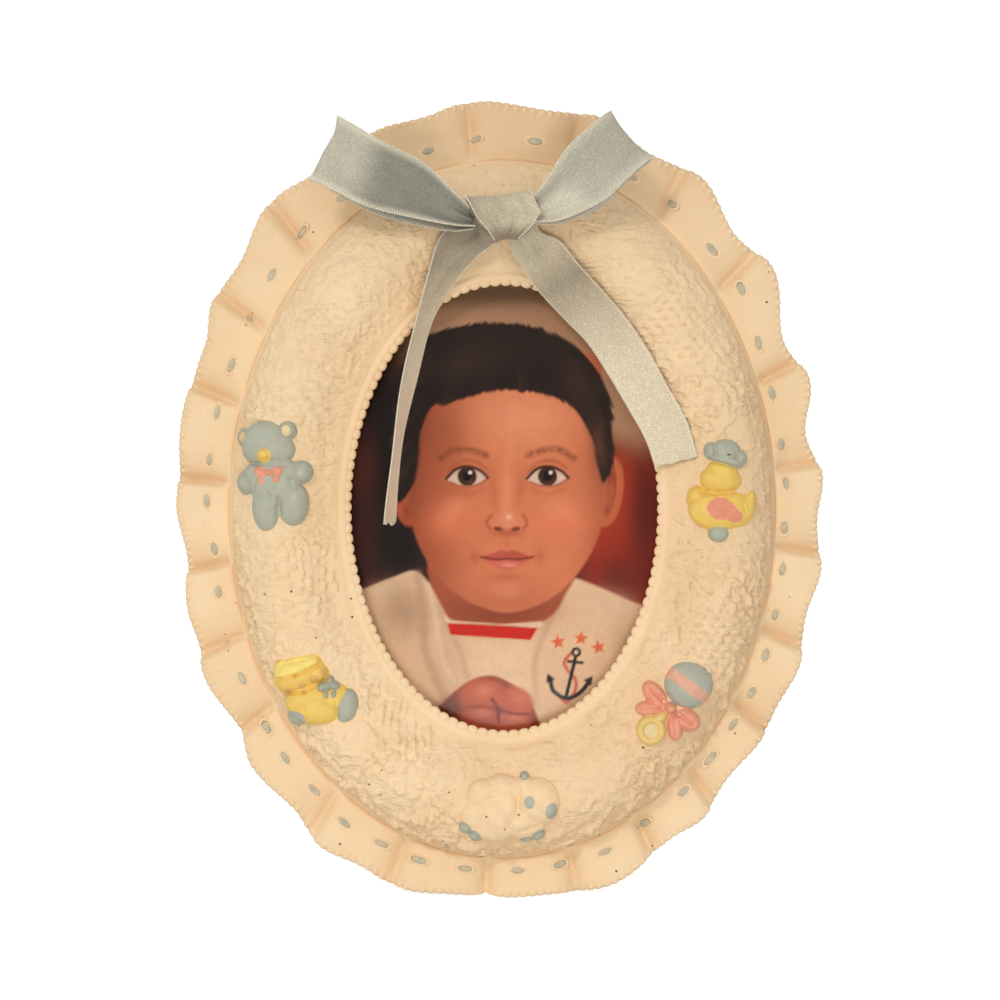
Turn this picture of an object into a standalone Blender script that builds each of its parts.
# Baby photo frame: a cast oval ring with a ruffled edge and raised nursery figures, a satin
# ribbon bow glued on top, a glazed oval print held by turn buttons, and a hinged easel leg.
# It stands on the flat of its lower ruffle edge and on the foot of the leg, leaning back.
# Face coordinates: x to the right, z up the face, depth d forward from the flat back of the
# casting, all measured from the centre of the ring.

import math

import bmesh
import bpy
from mathutils import Matrix, Vector

# Driving sizes, in metres and degrees
MM = 0.001
GAP = 0.3 * MM
SEAT = 0.04 * MM
RUNNING_CLEARANCE = 0.08 * MM
LEAN = 15.0
FOOT_CUT = 1.1 * MM
FOOT_REACH = 10.7 * MM

OPENING_SEMI_X = 40.4 * MM
OPENING_SEMI_Z = 58.6 * MM
OPENING_SHIFT_X = 0.5 * MM
OPENING_SHIFT_Z = 0.3 * MM
RING_SEMI_X = 72.2 * MM
RING_SEMI_Z = 92.2 * MM
BEAD_HEIGHT = 12.2 * MM
BAND_HEIGHT = 12.6 * MM
CROWN_HEIGHT = 19.0 * MM
SEAM_HEIGHT = 8.2 * MM
RUFFLE_HEIGHT = 6.6 * MM
RUFFLE_THICKNESS = 2.6 * MM
CREST_RISE = 1.6 * MM
VALLEY_DROP = 1.4 * MM

LEDGE_WIDTH = 5.0 * MM
GLASS_THICKNESS = 2.0 * MM
PRINT_THICKNESS = 0.3 * MM
BOARD_THICKNESS = 2.0 * MM
VELVET_THICKNESS = 0.6 * MM

RIBBON_THICKNESS = 0.7 * MM
LOOP_BULGE = 1.0 * MM
TAIL_BULGE = 0.7 * MM
KNOT_HALF_LENGTH = 9.3 * MM
KNOT_HALF_HEIGHT = 6.4 * MM
KNOT_HALF_DEPTH = 4.3 * MM
KNOT_WALL = 0.8 * MM
KNOT_RISE = 7.3 * MM
KNOT_HEIGHT = 74.8 * MM
KNOT_TILT = 6.0

PIN_HEIGHT = 30.0 * MM
PIN_RADIUS = 0.9 * MM
KNUCKLE_RADIUS = 1.9 * MM
LEAF_HALF_WIDTH = 12.0 * MM
LEAF_LENGTH = 14.0 * MM
LEAF_THICKNESS = 0.8 * MM
MOVING_KNUCKLE_HALF = 4.0 * MM
STOP_TAB_LENGTH = 5.5 * MM
LEG_OPENING = 25.0
LEG_THICKNESS = 2.4 * MM
LEG_TOP_WIDTH = 20.0 * MM
LEG_FOOT_WIDTH = 38.0 * MM
RIVET_RADIUS = 0.8 * MM
RIVET_HEAD_RADIUS = 1.7 * MM
RIVET_HEAD_HEIGHT = 0.8 * MM
RIVET_SPACING = 14.0 * MM

BUTTON_WIDTH = 5.0 * MM
BUTTON_LENGTH = 16.0 * MM
BUTTON_THICKNESS = 1.0 * MM
BUTTON_SETBACK = 6.0 * MM
BUTTON_ANGLES = {"top_right": 45.0, "top_left": 135.0, "bottom_left": 225.0, "bottom_right": 315.0}
SCREW_RADIUS = 0.8 * MM
SCREW_HEAD_RADIUS = 1.9 * MM
SCREW_HEAD_HEIGHT = 0.9 * MM
SCREW_DEPTH = 5.4 * MM
PLUG_RADIUS = 2.2 * MM
PLUG_LENGTH = 7.2 * MM

# Ruffle edge: angle round the ring and reach beyond its seam in mm
EDGE = [
    (6, 12.9), (14, 9.7), (23, 13.9), (31, 10.6), (42, 16.6), (50, 13.3), (59, 17.1), (68, 13.6),
    (76, 16.5), (84, 14.3), (95, 16.2), (101, 14.7), (110, 16.5), (119, 16.0), (127, 19.0),
    (137, 15.6), (144, 17.1), (151, 14.3), (163, 15.1), (175, 13.9), (179, 14.2), (188, 12.2),
    (198, 14.0), (203, 13.6), (209, 14.8), (220, 12.2), (226, 14.5), (235, 12.8), (241, 15.4),
    (249, 13.1), (253, 13.9), (265, FOOT_REACH / MM), (275, FOOT_REACH / MM), (287, 13.5),
    (297, 11.3), (303, 13.0), (310, 10.8), (320, 12.7), (324, 12.1), (332, 13.5), (341, 11.4),
    (349, 13.2), (358, 11.2),
]
# Ruffle folds: the angles of the sharp creases, with a soft crest between each two
CREASES = [
    8.3, 26.4, 45.4, 62.0, 79.0, 95.0, 111.0, 127.0, 142.9, 158.3, 174.5, 191.0, 205.8, 220.4, 239.5,
    253.5, 267.5, 281.0, 293.5, 305.5, 320.0, 335.2, 352.1,
]
FOLD_STEPS = 6

# Bow ribbons: their two edges as places on the face and height above the crown, all in mm
LOOP_LEFT = [
    ((-8.6, 77.4, 8.2), (-7.4, 72.4, 8.2)), ((-12.6, 81.2, 9.0), (-12.8, 72.6, 9.0)),
    ((-19.8, 87.8, 10.0), (-22.4, 74.3, 10.0)), ((-30.0, 93.2, 11.0), (-35.0, 77.4, 11.0)),
    ((-40.2, 99.2, 10.0), (-47.6, 83.7, 10.0)), ((-41.6, 100.2, 7.5), (-49.0, 84.3, 7.5)),
    ((-40.0, 99.6, 4.8), (-47.0, 83.7, 4.8)), ((-29.5, 93.6, 4.0), (-33.7, 76.6, 4.0)),
    ((-19.2, 87.4, 4.2), (-21.3, 73.0, 4.2)), ((-12.4, 80.0, 5.0), (-12.6, 71.6, 5.0)),
    ((-8.4, 77.0, 5.6), (-7.2, 72.0, 5.6)),
]
LOOP_RIGHT = [
    ((7.4, 79.0, 8.4), (8.6, 73.6, 8.4)), ((11.6, 84.6, 9.8), (15.2, 74.0, 9.8)),
    ((16.6, 92.2, 11.0), (25.5, 78.7, 11.0)), ((22.2, 97.4, 10.5), (31.9, 84.6, 10.5)),
    ((26.4, 100.9, 9.0), (37.1, 89.2, 9.0)), ((27.5, 101.6, 6.5), (38.3, 89.8, 6.5)),
    ((22.5, 97.4, 4.3), (31.7, 84.2, 4.3)), ((16.8, 92.0, 4.0), (25.0, 77.6, 4.0)),
    ((11.6, 83.6, 4.8), (15.2, 73.6, 4.8)), ((7.4, 78.6, 5.6), (8.6, 73.4, 5.6)),
]
TAIL_LEFT = [
    ((-8.5, 76.6, 2.2), (0.2, 75.2, 2.0)), ((-10.5, 71.6, 2.3), (0.2, 68.2, 1.0)),
    ((-14.4, 67.5, 2.8), (-2.8, 66.1, -0.8)), ((-16.7, 60.5, 3.0), (-8.5, 60.4, -3.8)),
    ((-19.5, 51.4, 3.5), (-15.7, 52.4, -7.6)), ((-23.1, 37.2, 4.0), (-19.4, 38.0, -9.8)),
    ((-26.2, 23.0, 3.5), (-22.9, 23.5, -10.2)), ((-29.1, 7.6, 3.0), (-26.0, 7.7, -10.3)),
    ((-30.9, -2.8, 3.0), (-28.1, -3.4, -10.3)),
]
TAIL_RIGHT = [
    ((1.8, 75.2, 1.8), (8.8, 77.6, 2.2)), ((2.1, 67.8, -0.2), (9.4, 72.0, 1.8)),
    ((5.3, 62.9, -2.2), (14.8, 69.2, 1.6)), ((9.8, 56.8, -4.8), (20.0, 63.0, 1.4)),
    ((16.9, 49.4, -7.4), (25.7, 56.8, 1.2)), ((22.5, 43.5, -8.4), (31.7, 50.1, 1.0)),
    ((28.0, 35.0, -8.4), (37.7, 41.8, 1.0)), ((32.7, 27.1, -8.0), (42.8, 32.4, 1.0)),
    ((37.4, 18.7, -6.8), (47.7, 23.1, 1.2)), ((39.9, 11.3, -5.4), (50.6, 13.8, 1.2)),
]

# Eggs and hoop laid on the ring: place, half sizes and height in mm
GLUE_DAB = (0.4, 75.6, 6.5, 2.8, 1.5)
RATTLE_HOOP = (-5.1, -6.4, 2.6, 1.1, 2.0)

# Sizes that follow from the driving ones
LEAF_STACK = [
    VELVET_THICKNESS, BOARD_THICKNESS, PRINT_THICKNESS, GLASS_THICKNESS,
]
REBATE_DEPTH = sum(LEAF_STACK) + GAP * (len(LEAF_STACK) + 1)
PIN_DEPTH = -KNUCKLE_RADIUS
BORE_RADIUS = PIN_RADIUS + RUNNING_CLEARANCE

# Ring section from the opening to the seam: share of the ring width, depth
RING_PROFILE = [
    (0.000, REBATE_DEPTH), (0.000, BEAD_HEIGHT - 1.2 * MM), (0.042, BEAD_HEIGHT),
    (0.080, BEAD_HEIGHT - 0.9 * MM), (0.094, BAND_HEIGHT - 0.3 * MM),
    (0.180, BAND_HEIGHT), (0.200, BAND_HEIGHT - 0.8 * MM), (0.228, BAND_HEIGHT + 0.3 * MM),
    (0.290, CROWN_HEIGHT - 4.0 * MM), (0.370, CROWN_HEIGHT - 2.0 * MM),
    (0.460, CROWN_HEIGHT - 0.6 * MM), (0.560, CROWN_HEIGHT), (0.670, CROWN_HEIGHT - 0.5 * MM),
    (0.780, CROWN_HEIGHT - 2.2 * MM), (0.880, CROWN_HEIGHT - 5.2 * MM),
    (0.950, CROWN_HEIGHT - 8.2 * MM), (1.000, SEAM_HEIGHT),
]


# Clear the scene
for old in list(bpy.data.objects):
    bpy.data.objects.remove(old)


def material(name, colour, roughness, metallic=0.0):
    """A plain Principled material."""
    made = bpy.data.materials.new(name)
    made.use_nodes = True
    shader = made.node_tree.nodes["Principled BSDF"]
    shader.inputs["Base Color"].default_value = (*colour, 1.0)
    shader.inputs["Roughness"].default_value = roughness
    shader.inputs["Metallic"].default_value = metallic
    return made


def add_object(name, shape, finish, parent, smooth=True):
    """Turn a closed bmesh in parent coordinates into a named object."""
    bmesh.ops.recalc_face_normals(shape, faces=shape.faces)
    mesh = bpy.data.meshes.new(name)
    shape.to_mesh(mesh)
    shape.free()
    mesh.materials.append(finish)
    if smooth:
        mesh.shade_smooth()
    made = bpy.data.objects.new(name, mesh)
    bpy.context.scene.collection.objects.link(made)
    made.parent = parent
    return made


def add_cutter(name, shape, parent):
    """A hidden tool solid for Boolean cuts."""
    made = add_object(name, shape, CUTTER_FINISH, parent, smooth=False)
    made.hide_render = True
    made.display_type = "WIRE"
    return made


def cut(target, cutter, merge=False):
    """Take the cutter away from the target, merging the target's own overlapping shells if asked."""
    step = target.modifiers.new("cut_" + cutter.name, "BOOLEAN")
    step.operation = "DIFFERENCE"
    step.solver = "EXACT"
    step.use_self = merge
    step.object = cutter


def polar(semi_x, semi_z, angle, shift_x=0.0, shift_z=0.0):
    """Distance from the ring centre to a (shifted) ellipse in the given direction."""
    c, s = math.cos(angle), math.sin(angle)
    a = (c / semi_x) ** 2 + (s / semi_z) ** 2
    b = -2.0 * (c * shift_x / semi_x ** 2 + s * shift_z / semi_z ** 2)
    k = (shift_x / semi_x) ** 2 + (shift_z / semi_z) ** 2 - 1.0
    return (-b + math.sqrt(b * b - 4.0 * a * k)) / (2.0 * a)


def opening_radius(angle, grow=0.0):
    return polar(OPENING_SEMI_X + grow, OPENING_SEMI_Z + grow, angle, OPENING_SHIFT_X, OPENING_SHIFT_Z)


def seam_radius(angle):
    return polar(RING_SEMI_X, RING_SEMI_Z, angle)


def ring_depth(share):
    """Depth of the ring's front at a share of its width, out to the seam and level beyond it."""
    if share <= 0.0:
        return BEAD_HEIGHT
    for (u0, d0), (u1, d1) in zip(RING_PROFILE[1:], RING_PROFILE[2:]):
        if share <= u1:
            return d0 + (d1 - d0) * (share - u0) / (u1 - u0)
    return SEAM_HEIGHT


def surface_depth(x, z):
    """Depth of the ring's front at a place on the face."""
    angle = math.atan2(z, x)
    inner, outer = opening_radius(angle), seam_radius(angle)
    return ring_depth((math.hypot(x, z) - inner) / (outer - inner))


def edge_reach(degrees):
    """Reach of the ruffle beyond the seam, eased between the listed angles."""
    degrees %= 360
    for (a0, r0), (a1, r1) in zip(EDGE, EDGE[1:] + [(EDGE[0][0] + 360, EDGE[0][1])]):
        if degrees < EDGE[0][0]:
            degrees += 360
        if a0 <= degrees <= a1:
            t = (degrees - a0) / (a1 - a0)
            return (r0 + (r1 - r0) * (1.0 - math.cos(math.pi * t)) / 2) * MM
    return EDGE[-1][1] * MM


def fold_rise(degrees):
    """Rise of the ruffle: 0 at a crease and 1 on the crest between two."""
    for start, end in zip(CREASES, CREASES[1:] + [CREASES[0] + 360]):
        if start <= degrees < end:
            return math.sin(math.pi * (degrees - start) / (end - start)) ** 0.8
    return 0.0


def fold_samples():
    """Angle, reach and rise at every step round the ruffle."""
    made = []
    for start, end in zip(CREASES, CREASES[1:] + [CREASES[0] + 360]):
        for step in range(FOLD_STEPS):
            degrees = start + (end - start) * step / FOLD_STEPS
            made.append((math.radians(degrees), edge_reach(degrees), fold_rise(degrees)))
    return made


def casting_section(angle, reach, rise):
    """Closed section of the casting in one direction, as (radius, depth) pairs."""
    inner, outer = opening_radius(angle), seam_radius(angle)
    points = [(inner + u * (outer - inner), d) for u, d in RING_PROFILE]
    swing = -VALLEY_DROP + (CREST_RISE + VALLEY_DROP) * rise
    front = []
    for v, lift in ((0.14, 0.9 * MM), (0.42, 0.2 * MM), (0.92, 0.0)):
        front.append((outer + v * reach, RUFFLE_HEIGHT + lift + swing * v ** 0.8))
    points += front
    points.append((outer + reach, front[2][1] - RUFFLE_THICKNESS / 2))
    points.append((front[2][0], front[2][1] - RUFFLE_THICKNESS))
    points.append((front[1][0], front[1][1] - RUFFLE_THICKNESS - 0.2 * MM))
    points.append((outer - 0.3 * MM, 3.2 * MM))
    points.append((outer - 3.0 * MM, 0.0))
    rebate = opening_radius(angle, LEDGE_WIDTH)
    points.append((rebate, 0.0))
    points.append((rebate, REBATE_DEPTH))
    return points


def casting_shape(grow=0.0):
    """The casting as one closed skin, or the same skin pushed outward for clearance cuts."""
    shape = bmesh.new()
    rows = []
    for angle, reach, rise in fold_samples():
        row = []
        for radius, depth in casting_section(angle, reach, rise):
            spot = (radius * math.cos(angle), -depth, radius * math.sin(angle))
            row.append(shape.verts.new(spot))
        rows.append(row)
    for near, far in zip(rows, rows[1:] + rows[:1]):
        count = len(near)
        for i in range(count):
            j = (i + 1) % count
            shape.faces.new((near[i], near[j], far[j], far[i]))
    bmesh.ops.recalc_face_normals(shape, faces=shape.faces)
    if grow:
        shape.normal_update()
        moved = [(vert, vert.normal * grow) for vert in shape.verts]
        for vert, shift in moved:
            vert.co += shift
    return shape


def box(shape, x0, x1, d0, d1, z0, z1):
    """A box between two corners in face coordinates."""
    corners = [Vector((x, -d, z)) for x in (x0, x1) for d in (d0, d1) for z in (z0, z1)]
    verts = [shape.verts.new(corner) for corner in corners]
    for quad in ((0, 1, 3, 2), (4, 6, 7, 5), (0, 4, 5, 1), (2, 3, 7, 6), (0, 2, 6, 4), (1, 5, 7, 3)):
        shape.faces.new([verts[i] for i in quad])
    return verts


def plate(shape, outline, low, high, level):
    """A flat plate between two depths, its outline given as (x, z above a level)."""
    layers = []
    for depth in (low, high):
        layers.append([shape.verts.new((x, -depth, level + z)) for x, z in outline])
    for i in range(len(outline)):
        j = (i + 1) % len(outline)
        shape.faces.new((layers[0][i], layers[0][j], layers[1][j], layers[1][i]))
    shape.faces.new(layers[0])
    shape.faces.new(layers[1])


def lathe(shape, profile, frame, sides=12):
    """Turn (radius, height) pairs, starting and ending on the axis, about local Z of the frame."""
    rings = []
    for radius, height in profile:
        if radius == 0.0:
            rings.append([shape.verts.new(frame @ Vector((0.0, 0.0, height)))])
            continue
        ring = []
        for i in range(sides):
            turn = 2 * math.pi * i / sides
            spot = Vector((radius * math.cos(turn), radius * math.sin(turn), height))
            ring.append(shape.verts.new(frame @ spot))
        rings.append(ring)
    for low, high in zip(rings, rings[1:]):
        for i in range(sides):
            j = (i + 1) % sides
            corners = [low[i % len(low)], low[j % len(low)], high[j % len(high)], high[i % len(high)]]
            shape.faces.new(list(dict.fromkeys(corners)))


def cylinder(shape, radius, low, high, frame, sides=16):
    lathe(shape, [(0.0, low), (radius, low), (radius, high), (0.0, high)], frame, sides)


def backward(x, z, d=0.0):
    """A frame at a place on the face whose local Z points out of the back."""
    return Matrix.Translation((x, -d, z)) @ Matrix.Rotation(-math.pi / 2, 4, "X")


def sideways(d, z):
    """A frame on the hinge line whose local Z points right."""
    return Matrix.Translation((0.0, -d, z)) @ Matrix.Rotation(math.pi / 2, 4, "Y")


def oval_plate(name, grow, back, thickness, finish, sides=72):
    """A flat oval plate lying in the rebate."""
    outline = []
    for i in range(sides):
        turn = 2 * math.pi * i / sides
        x = OPENING_SHIFT_X + (OPENING_SEMI_X + grow) * math.cos(turn)
        outline.append((x, OPENING_SHIFT_Z + (OPENING_SEMI_Z + grow) * math.sin(turn)))
    shape = bmesh.new()
    plate(shape, outline, back, back + thickness, 0.0)
    return add_object(name, shape, finish, FACE, smooth=False)


def smooth_path(points, steps):
    """Points along a Catmull-Rom curve through the given ones."""
    made = []
    for i in range(len(points) - 1):
        before = points[max(i - 1, 0)]
        start, end = points[i], points[i + 1]
        after = points[min(i + 2, len(points) - 1)]
        for k in range(steps):
            t = k / steps
            made.append(
                0.5 * (2 * start + (end - before) * t
                       + (2 * before - 5 * start + 4 * end - after) * t * t
                       + (3 * start - before - 3 * end + after) * t ** 3)
            )
    made.append(points[-1])
    return made


def ribbon(name, stations, bulge, steps=3, across=4):
    """A ribbon lofted through pairs of edge points (x, z, depth above the crown, in mm)."""
    crown = Vector((0.0, -CROWN_HEIGHT, 0.0))
    first = smooth_path([crown + Vector((a[0], -a[2], a[1])) * MM for a, b in stations], steps)
    second = smooth_path([crown + Vector((b[0], -b[2], b[1])) * MM for a, b in stations], steps)
    shape = bmesh.new()
    rows = []
    for i, (a, b) in enumerate(zip(first, second)):
        ahead = first[min(i + 1, len(first) - 1)] - first[max(i - 1, 0)]
        normal = (b - a).cross(ahead).normalized()
        row = []
        for k in range(across + 1):
            t = k / across
            lift = bulge * math.sin(math.pi * t) * math.sin(math.pi * min(i / 4, 1.0) / 2)
            row.append(shape.verts.new(a.lerp(b, t) + normal * lift))
        rows.append(row)
    for low, high in zip(rows, rows[1:]):
        for k in range(across):
            shape.faces.new((low[k], low[k + 1], high[k + 1], high[k]))
    made = add_object(name, shape, SATIN, FACE)
    thick = made.modifiers.new("thickness", "SOLIDIFY")
    thick.thickness = RIBBON_THICKNESS
    thick.offset = 0.0
    return made


def blob(shape, x, z, semi_x, semi_z, height, tilt=0.0, sides=12, rings=7):
    """An egg lying on the ring: half sizes and height in mm, tilt in degrees."""
    x, z, semi_x, semi_z, height = (value * MM for value in (x, z, semi_x, semi_z, height))
    place = Matrix.Translation((x, -surface_depth(x, z) + 0.2 * height, z))
    turn = Matrix.Rotation(math.radians(-tilt), 4, "Y")
    size = Matrix.Diagonal((semi_x, height * 1.2, semi_z, 1.0))
    bmesh.ops.create_uvsphere(
        shape, u_segments=sides, v_segments=rings, radius=1.0,
        matrix=place @ turn @ size @ Matrix.Rotation(math.pi / 2, 4, "X"),
    )


def hoop(shape, x, z, radius, thick, height, sides=16, rings=6):
    """A ring lying on the surface: middle radius, half thickness and height in mm."""
    centre = Vector((x * MM, -surface_depth(x * MM, z * MM) + 0.1 * MM, z * MM))
    grid = []
    for i in range(sides):
        turn = 2 * math.pi * i / sides
        row = []
        for k in range(rings):
            roll = 2 * math.pi * k / rings
            reach = (radius + thick * math.cos(roll)) * MM
            up = height * math.sin(roll) * MM
            out = Vector((reach * math.cos(turn), -up, reach * math.sin(turn)))
            row.append(shape.verts.new(centre + out))
        grid.append(row)
    for near, far in zip(grid, grid[1:] + grid[:1]):
        for k in range(rings):
            m = (k + 1) % rings
            shape.faces.new((near[k], near[m], far[m], far[k]))


# Finishes
CUTTER_FINISH = material("cutter", (0.5, 0.5, 0.5), 0.8)
CERAMIC = material("cream_bisque", (0.86, 0.66, 0.42), 0.75)
SATIN = material("blue_satin", (0.42, 0.40, 0.33), 0.35)
GLUE = material("clear_glue", (0.80, 0.78, 0.70), 0.25)
GLAZING = material("window_glass", (0.92, 0.96, 0.95), 0.03)
PAPER = material("print_paper", (0.32, 0.12, 0.08), 0.35)
CARD = material("backing_card", (0.50, 0.40, 0.28), 0.9)
VELVET = material("brown_velvet", (0.10, 0.05, 0.035), 0.95)
BRASS = material("brass", (0.72, 0.52, 0.24), 0.35, 1.0)
NYLON = material("plug_nylon", (0.75, 0.72, 0.66), 0.5)

# Lean: the face frame stands so that the ground plane trims the lowest lobes of the ruffle
lean = math.radians(LEAN)
lowest = 1.0
for angle, reach, rise in fold_samples():
    for radius, depth in casting_section(angle, reach, rise):
        lowest = min(lowest, depth * math.sin(lean) + radius * math.sin(angle) * math.cos(lean))
foot_radius, foot_depth = max(casting_section(math.radians(270), FOOT_REACH, fold_rise(270)))
foot_back = -foot_depth * math.cos(lean) - foot_radius * math.sin(lean)
FACE = bpy.data.objects.new("face_lean", None)
bpy.context.scene.collection.objects.link(FACE)
FACE.location = (0.0, -foot_back, -(lowest + FOOT_CUT))
FACE.rotation_euler = (-lean, 0.0, 0.0)

ground = bmesh.new()
box(ground, -150 * MM, 150 * MM, -150 * MM, 150 * MM, -60 * MM, 0.0)
ground_cutter = add_cutter("ground_cutter", ground, None)

# Casting: solid ring with a flat back, a rebate for the print and a thin ruffle all round
casting = add_object("frame_casting", casting_shape(), CERAMIC, FACE)
cut(casting, ground_cutter)
sockets = bmesh.new()
screw_holes = bmesh.new()
pivots = {}
for corner, degrees in BUTTON_ANGLES.items():
    angle = math.radians(degrees)
    radius = opening_radius(angle, LEDGE_WIDTH) + BUTTON_SETBACK
    pivots[corner] = (radius * math.cos(angle), radius * math.sin(angle), angle)
    frame = backward(pivots[corner][0], pivots[corner][1])
    cylinder(sockets, PLUG_RADIUS + GAP, -PLUG_LENGTH - GAP, 3 * MM, frame)
    lathe(screw_holes, [
        (0.0, -SCREW_DEPTH - GAP), (SCREW_RADIUS + GAP, -SCREW_DEPTH - GAP),
        (SCREW_RADIUS + GAP, GAP / 2), (SCREW_RADIUS + RUNNING_CLEARANCE, GAP / 2),
        (SCREW_RADIUS + RUNNING_CLEARANCE, 6 * MM), (0.0, 6 * MM),
    ], frame)
cut(casting, add_cutter("socket_cutter", sockets, FACE))
screw_cutter = add_cutter("screw_cutter", screw_holes, FACE)
relief_cutter = add_cutter("relief_cutter", casting_shape(GAP * 1.15), FACE)

# Raised figures: eggs and hoops merged and trimmed to stand just clear of the ring
FIGURES = {
    "teddy_bear": ((-60.1, 8.4), (0.25, 0.31, 0.37), [
        (-1.2, 8.9, 6.7, 5.7, 3.4), (-7.2, 11.0, 2.3, 2.3, 2.8), (4.7, 12.3, 2.6, 2.6, 2.8),
        (-1.7, 6.0, 2.4, 2.2, 4.6), (0.3, -1.8, 5.2, 7.0, 3.2), (-6.0, -1.0, 2.7, 3.5, 3.0),
        (6.6, 0.9, 3.6, 2.9, 3.0), (-1.5, -9.3, 3.3, 4.9, 3.8), (5.8, -8.3, 3.6, 4.7, 3.8),
        (-2.6, 1.0, 2.0, 1.4, 4.4), (2.1, 1.6, 2.0, 1.4, 4.4),
    ]),
    "duck": ((56.3, 3.7), (0.66, 0.42, 0.14), [
        (1.6, 10.6, 5.2, 3.2, 3.2, -18), (0.3, 4.6, 5.3, 3.8, 3.4), (-0.5, -3.7, 8.3, 5.6, 3.4),
        (7.0, -1.9, 2.2, 3.4, 2.6, -15), (0.9, -4.4, 4.7, 3.2, 4.2), (-0.5, -9.6, 2.9, 2.4, 2.6),
    ]),
    "bootie": ((-47.9, -46.9), (0.80, 0.55, 0.18), [
        (-5.7, 6.2, 5.4, 2.5, 3.0, 22), (-4.6, 2.2, 5.8, 3.6, 3.0, 24), (-0.5, -4.2, 8.0, 4.4, 3.4, 4),
        (-5.4, -5.6, 2.9, 3.4, 3.0), (6.9, -3.9, 3.4, 4.7, 3.2), (2.7, 0.9, 1.9, 1.6, 4.2),
        (1.2, -1.6, 4.4, 3.2, 3.3, -30),
    ]),
    "rattle": ((43.4, -50.7), (0.42, 0.42, 0.32), [
        (4.9, 5.2, 6.4, 6.4, 3.8), (-0.3, -0.6, 2.3, 2.3, 3.8), (-3.5, 2.6, 3.7, 2.0, 2.8, -38),
        (4.2, -3.7, 3.7, 2.0, 2.8, -38), (-4.4, -1.2, 3.9, 1.6, 2.6, 8), (0.7, -4.4, 1.7, 3.9, 2.6, 10),
        (-2.2, -2.8, 1.5, 2.7, 2.9, -40),
    ]),
    "lamb": ((1.9, -77.5), (0.80, 0.66, 0.44), [
        (-1.8, -0.2, 10.1, 7.8, 3.8), (7.0, 2.1, 5.0, 5.4, 4.6), (5.0, 1.8, 1.7, 2.6, 5.2),
        (10.0, 0.2, 2.1, 2.5, 3.8), (3.7, 7.6, 2.4, 1.9, 4.0), (-10.8, -4.9, 2.6, 1.9, 2.6),
        (-8.4, -6.6, 2.4, 1.8, 2.8), (7.6, -6.3, 2.2, 1.6, 2.8), (4.6, -7.4, 2.8, 1.6, 3.0),
    ]),
}
for name, (place, colour, eggs) in FIGURES.items():
    shape = bmesh.new()
    for egg in eggs:
        blob(shape, place[0] + egg[0], place[1] + egg[1], *egg[2:])
    if name == "rattle":
        hoop(shape, place[0] + RATTLE_HOOP[0], place[1] + RATTLE_HOOP[1], *RATTLE_HOOP[2:])
    figure = add_object(name, shape, material(name + "_glaze", colour, 0.6), FACE)
    cut(figure, relief_cutter, merge=True)

# Bow: two loops whose roots sit inside the wrapped knot, and two tails glued behind it
ribbon("bow_loop_left", LOOP_LEFT, -LOOP_BULGE)
ribbon("bow_loop_right", LOOP_RIGHT, -LOOP_BULGE)
ribbon("bow_tail_left", TAIL_LEFT, TAIL_BULGE)
ribbon("bow_tail_right", TAIL_RIGHT, TAIL_BULGE)

knot = bmesh.new()
knot_rows = []
tilt = Matrix.Rotation(math.radians(-KNOT_TILT), 4, "Y")
tilt.translation = (0.0, -CROWN_HEIGHT - KNOT_RISE, KNOT_HEIGHT)
stations = [(t, 0.0) for t in (-1.0, -0.6, 0.0, 0.6, 1.0)]
stations += [(t, KNOT_WALL) for t in (1.0, 0.6, 0.0, -0.6, -1.0)]
for along, inset in stations:
    flare = 0.94 + 0.10 * along * along
    row = []
    for k in range(20):
        turn = 2 * math.pi * k / 20
        c, s = math.cos(turn), math.sin(turn)
        up = math.copysign(abs(c) ** 0.75, c) * (KNOT_HALF_HEIGHT * flare - inset)
        out = math.copysign(abs(s) ** 0.75, s) * (KNOT_HALF_DEPTH - inset)
        row.append(knot.verts.new(tilt @ Vector((along * KNOT_HALF_LENGTH, -out, up))))
    knot_rows.append(row)
for near, far in zip(knot_rows, knot_rows[1:] + knot_rows[:1]):
    for k in range(20):
        m = (k + 1) % 20
        knot.faces.new((near[k], near[m], far[m], far[k]))
add_object("bow_knot", knot, SATIN, FACE)

dab = bmesh.new()
blob(dab, *GLUE_DAB)
glue = add_object("glue_dab", dab, GLUE, FACE)
cut(glue, relief_cutter)

# Rebate stack from the back: velvet, board, print and glass
level = GAP
velvet = oval_plate("velvet_cover", LEDGE_WIDTH - GAP, level, VELVET_THICKNESS, VELVET)
level += VELVET_THICKNESS + GAP
board = oval_plate("backing_board", LEDGE_WIDTH - GAP, level, BOARD_THICKNESS, CARD)
board_front = level + BOARD_THICKNESS
level = board_front + GAP
oval_plate("photo_print", LEDGE_WIDTH - 2 * GAP, level, PRINT_THICKNESS, PAPER)
level += PRINT_THICKNESS + GAP
oval_plate("window_glass", LEDGE_WIDTH - GAP, level, GLASS_THICKNESS, GLAZING)

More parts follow.
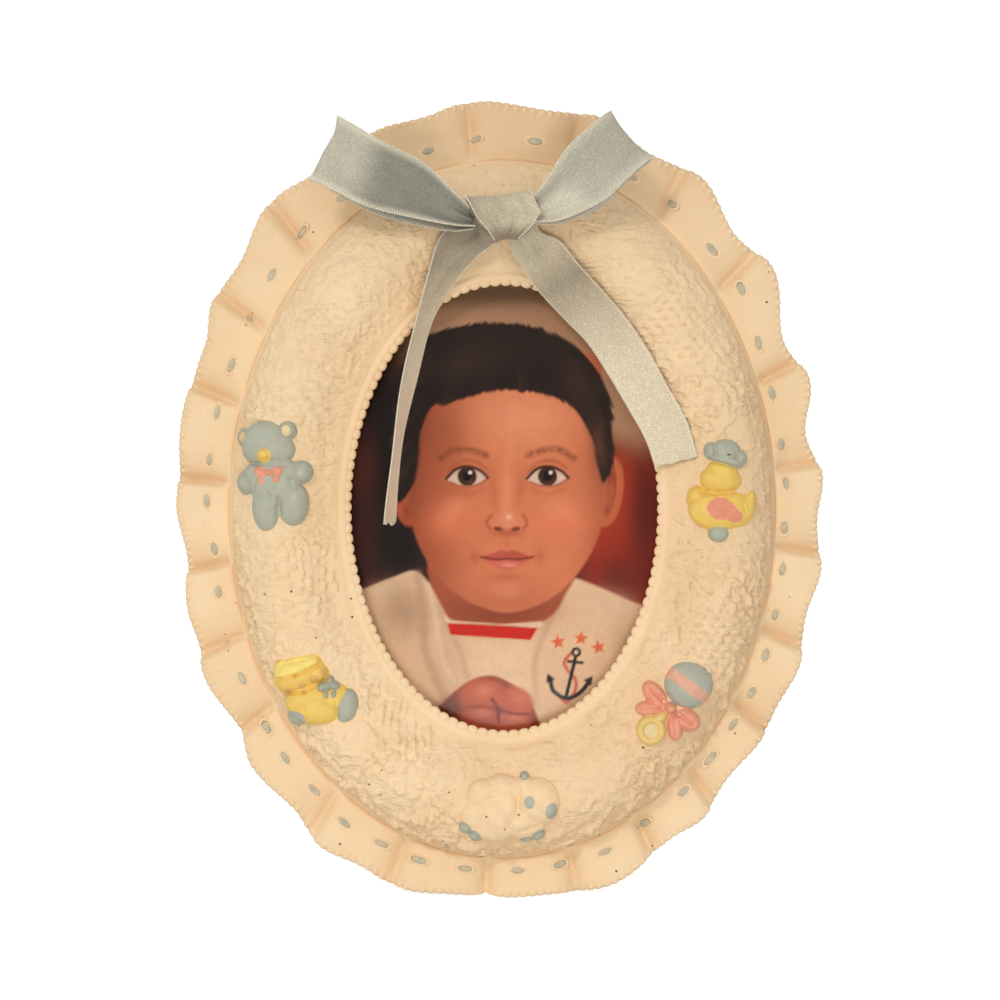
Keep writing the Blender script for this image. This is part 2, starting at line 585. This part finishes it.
# Turn buttons, each on a screw in a plug set into the back of the ring
for corner, (x, z, angle) in pivots.items():
    pivot = backward(x, z)
    plug = bmesh.new()
    cylinder(plug, PLUG_RADIUS, -PLUG_LENGTH, 0.0, pivot)
    cut(add_object("screw_plug_" + corner, plug, NYLON, FACE, smooth=False), screw_cutter)

    head_low = 2 * GAP + BUTTON_THICKNESS
    head_high = head_low + SCREW_HEAD_HEIGHT
    screw = bmesh.new()
    lathe(screw, [
        (0.0, -SCREW_DEPTH), (SCREW_RADIUS, -SCREW_DEPTH + 0.8 * MM), (SCREW_RADIUS, head_low),
        (SCREW_HEAD_RADIUS, head_low), (SCREW_HEAD_RADIUS, head_low + 0.4 * MM),
        (SCREW_HEAD_RADIUS * 0.7, head_high), (0.0, head_high),
    ], pivot)
    add_object("button_screw_" + corner, screw, BRASS, FACE, smooth=False)

    hub = bpy.data.objects.new("button_axis_" + corner, None)
    bpy.context.scene.collection.objects.link(hub)
    hub.parent = FACE
    hub.location = (x, 0.0, z)
    outline = []
    for end, start in ((BUTTON_LENGTH - BUTTON_WIDTH, 90.0), (0.0, 270.0)):
        for i in range(9):
            turn = math.radians(start + 22.5 * i)
            u = BUTTON_WIDTH / 2 * math.cos(turn) - end
            v = BUTTON_WIDTH / 2 * math.sin(turn)
            c, s = math.cos(angle), math.sin(angle)
            outline.append((u * c - v * s, u * s + v * c))
    button = bmesh.new()
    plate(button, outline, -GAP - BUTTON_THICKNESS, -GAP, 0.0)
    cut(add_object("turn_button_" + corner, button, BRASS, hub, smooth=False), screw_cutter)

# Easel hinge: fixed leaf on the velvet above the pin, moving leaf on the leg below it
LEG = bpy.data.objects.new("leg_axis", None)
bpy.context.scene.collection.objects.link(LEG)
LEG.parent = FACE
LEG.location = (0.0, -PIN_DEPTH, PIN_HEIGHT)
LEG.rotation_euler = (math.radians(LEG_OPENING), 0.0, 0.0)

pin = bmesh.new()
cylinder(pin, PIN_RADIUS, -LEAF_HALF_WIDTH, LEAF_HALF_WIDTH, sideways(PIN_DEPTH, PIN_HEIGHT))
add_object("hinge_pin", pin, BRASS, FACE, smooth=False)

# Rivets: two through each leaf, and one cutter each side for their holes and the pin's bore
leg_back = LEAF_THICKNESS - KNUCKLE_RADIUS + GAP
rivet_drop = LEAF_LENGTH * 0.62
rivet_sets = (
    ("fixed", FACE, PIN_HEIGHT + rivet_drop, LEAF_THICKNESS, board_front, PIN_DEPTH, PIN_HEIGHT),
    ("leg", LEG, -rivet_drop, KNUCKLE_RADIUS, leg_back + LEG_THICKNESS, 0.0, 0.0),
)
hinge_cutters = {}
for word, parent, height, leaf_back, far, bore_depth, bore_height in rivet_sets:
    holes = bmesh.new()
    cylinder(holes, BORE_RADIUS, -20 * MM, 20 * MM, sideways(bore_depth, bore_height))
    for side, hand in ((-1, "left"), (1, "right")):
        spot = backward(side * RIVET_SPACING / 2, height)
        cylinder(holes, RIVET_RADIUS + GAP, -10 * MM, 10 * MM, spot)
        low = leaf_back + GAP
        rivet = bmesh.new()
        lathe(rivet, [
            (0.0, GAP - far), (RIVET_RADIUS, GAP - far), (RIVET_RADIUS, low), (RIVET_HEAD_RADIUS, low),
            (RIVET_HEAD_RADIUS * 0.75, low + RIVET_HEAD_HEIGHT * 0.7), (0.0, low + RIVET_HEAD_HEIGHT),
        ], spot)
        add_object("rivet_" + word + "_" + hand, rivet, BRASS, parent, smooth=False)
    hinge_cutters[word] = add_cutter(word + "_hinge_cutter", holes, parent)
cut(velvet, hinge_cutters["fixed"])
cut(board, hinge_cutters["fixed"])

clear = KNUCKLE_RADIUS + 0.4 * MM
root = 0.43 * MM
wide = LEAF_HALF_WIDTH
notch = MOVING_KNUCKLE_HALF + GAP
leaf = bmesh.new()
plate(leaf, [
    (-wide, root), (-notch, root), (-notch, clear), (notch, clear), (notch, root), (wide, root),
    (wide, LEAF_LENGTH), (-wide, LEAF_LENGTH),
], -LEAF_THICKNESS, 0.0, PIN_HEIGHT)
for low, high in ((-wide, -notch), (notch, wide)):
    cylinder(leaf, KNUCKLE_RADIUS - SEAT, low + SEAT, high - SEAT, sideways(PIN_DEPTH, PIN_HEIGHT))
cut(add_object("hinge_leaf_fixed", leaf, BRASS, FACE, smooth=False), hinge_cutters["fixed"], merge=True)

half = MOVING_KNUCKLE_HALF
leaf = bmesh.new()
plate(leaf, [
    (-half, -root), (half, -root), (half, -clear), (wide, -clear), (wide, -LEAF_LENGTH),
    (-wide, -LEAF_LENGTH), (-wide, -clear), (-half, -clear),
], -KNUCKLE_RADIUS, LEAF_THICKNESS - KNUCKLE_RADIUS, 0.0)
cylinder(leaf, KNUCKLE_RADIUS - SEAT, SEAT - half, half - SEAT, sideways(0.0, 0.0))
tab_top = KNUCKLE_RADIUS - LEAF_THICKNESS - GAP
tab = box(leaf, SEAT - half, half - SEAT, tab_top - LEAF_THICKNESS, tab_top, 0.0, STOP_TAB_LENGTH)
swing = Matrix.Rotation(math.radians(-LEG_OPENING), 4, "X")
bmesh.ops.transform(leaf, matrix=swing, verts=tab)
cut(add_object("hinge_leaf_moving", leaf, BRASS, LEG, smooth=False), hinge_cutters["leg"], merge=True)

# Leg: a tapered board under the moving leaf, its foot cut level with the ground
pin_world = FACE.location.z + PIN_DEPTH * math.sin(lean) + PIN_HEIGHT * math.cos(lean)
leg_length = pin_world / math.cos(math.radians(LEG_OPENING - LEAN)) + 6 * MM
leg_shape = bmesh.new()
verts = box(leg_shape, -0.5, 0.5, leg_back, leg_back + LEG_THICKNESS, -leg_length, -clear - GAP)
for vert in verts:
    vert.co.x *= LEG_FOOT_WIDTH if vert.co.z < -leg_length / 2 else LEG_TOP_WIDTH
leg = add_object("easel_leg", leg_shape, VELVET, LEG, smooth=False)
cut(leg, hinge_cutters["leg"])
cut(leg, ground_cutter)
